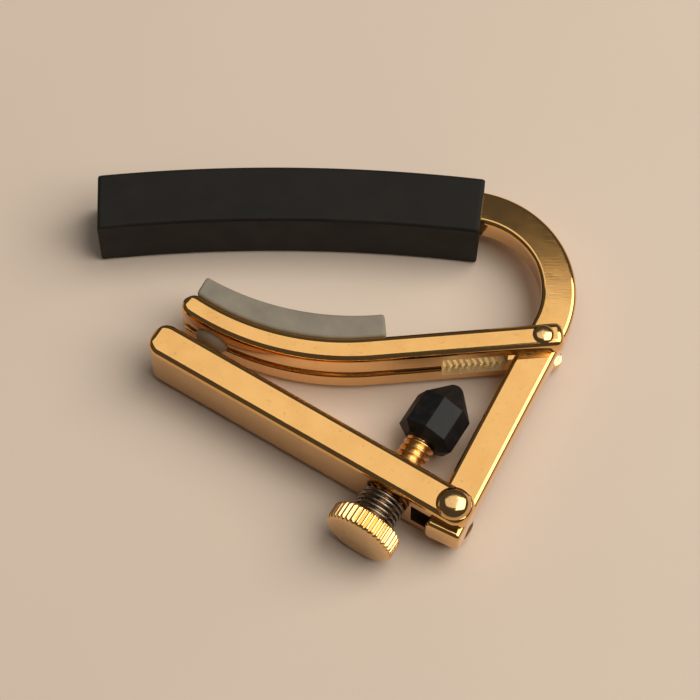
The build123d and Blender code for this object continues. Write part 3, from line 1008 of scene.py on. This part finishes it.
FLOOR_COLOUR = (0.74, 0.625, 0.52)
FLOOR_COLOUR_DEEP = (0.72, 0.605, 0.50)
CAMERA_ELEVATION = 65.0
CAMERA_DISTANCE = 458 * MM
CAMERA_LENS = 154.3
CAMERA_SENSOR = 36.0
FLOOR_HALF_SIZE = 3.0
SURROUNDINGS_COLOUR = (0.56, 0.53, 0.50, 1)
SURROUNDINGS_STRENGTH = 0.14
# Each light: azimuth and elevation in degrees, distance and size in metres, power in watts, colour.
SOFTBOX = (4, 77.75, 1.5, (1.4, 0.79), 3.3, (1.0, 0.95, 0.88))
KEY_LIGHT = (86, 55, 1.0, (1.0, 1.0), 11.0, (1.0, 0.94, 0.86))
# The camera looks at a point given from the arm's pivot, in the bars' middle plane.
CAMERA_TARGET = ARM_PIVOT + Vector((-29.22, -0.32, 0)) * MM


def direction(azimuth, elevation):
    """The unit vector towards an azimuth, from +Y clockwise, and an elevation."""
    turn, lift = math.radians(azimuth), math.radians(elevation)
    return Vector((math.sin(turn) * math.cos(lift), math.cos(turn) * math.cos(lift), math.sin(lift)))


def add_camera():
    """The camera on the -Y side, looking down at the capo."""
    data = bpy.data.cameras.new("camera")
    data.sensor_width = CAMERA_SENSOR
    data.lens = CAMERA_LENS
    data.clip_start = 10 * MM
    camera = bpy.data.objects.new("camera", data)
    bpy.context.scene.collection.objects.link(camera)
    camera.location = CAMERA_TARGET + direction(180, CAMERA_ELEVATION) * CAMERA_DISTANCE
    camera.rotation_euler = (CAMERA_TARGET - camera.location).to_track_quat("-Z", "Y").to_euler()
    bpy.context.scene.camera = camera


def add_area(name, azimuth, elevation, distance, size, power, colour):
    """A rectangular soft light that faces the capo."""
    data = bpy.data.lights.new(name, "AREA")
    data.shape = "RECTANGLE"
    data.size, data.size_y = size
    data.energy = power
    data.color = colour
    lamp = bpy.data.objects.new(name, data)
    bpy.context.scene.collection.objects.link(lamp)
    lamp.location = CAMERA_TARGET + direction(azimuth, elevation) * distance
    lamp.rotation_euler = (CAMERA_TARGET - lamp.location).to_track_quat("-Z", "Y").to_euler()


def add_studio():
    """Floor, dim surroundings and soft lights."""
    size = FLOOR_HALF_SIZE
    points = [(-size, -size, 0), (size, -size, 0), (size, size, 0), (-size, size, 0)]
    floor = new_object("floor", points, [(0, 1, 2, 3)])
    floor.data.materials.append(paper_floor())
    world = bpy.data.worlds.new("surroundings")
    bpy.context.scene.world = world
    world.use_nodes = True
    background = world.node_tree.nodes["Background"]
    background.inputs["Color"].default_value = SURROUNDINGS_COLOUR
    background.inputs["Strength"].default_value = SURROUNDINGS_STRENGTH
    add_area("softbox", *SOFTBOX)
    add_area("key", *KEY_LIGHT)
    bpy.context.scene.view_settings.view_transform = "Standard"


def main():
    """Build every piece and the studio."""
    polished = brass("brass_frame", 0.0)
    frame_bar(polished)
    # The arm's slot gets painted light, the lever's fork painted shade.
    neck_arm(brass("brass_arm", ARM_ANGLE, painted_recess=(slot_painted_light_region(), SLOT_PAINTED_LIGHT, SLOT_ROUGHER)))
    lever(brass("brass_lever", LEVER_ANGLE, painted_recess=(fork_painted_shade_region(), FORK_PAINTED_SHADE, FORK_ROUGHER)))
    string_sleeve(black_rubber())
    neck_pad(grey_rubber())
    turned = brass("brass_turned", LEVER_ANGLE, TURNED_BRASS)
    adjusting_screw(turned)
    knob(turned)
    tension_spring(spring_steel())
    screw_tip(black_plastic())
    heads = brass("brass_rivets", 0.0, RIVET_BRASS)
    rivet("arm_rivet_polished", ARM_PIVOT, ARM_RIVET_DIAMETER, ARM_HEAD_DIAMETER, ARM_HEAD_RISE,
          "arm_rivet", heads)
    rivet("lever_rivet_polished", LEVER_PIVOT, LEVER_RIVET_DIAMETER, LEVER_HEAD_DIAMETER, LEVER_HEAD_RISE,
          "lever_rivet", heads)
    add_studio()
    add_camera()


main()
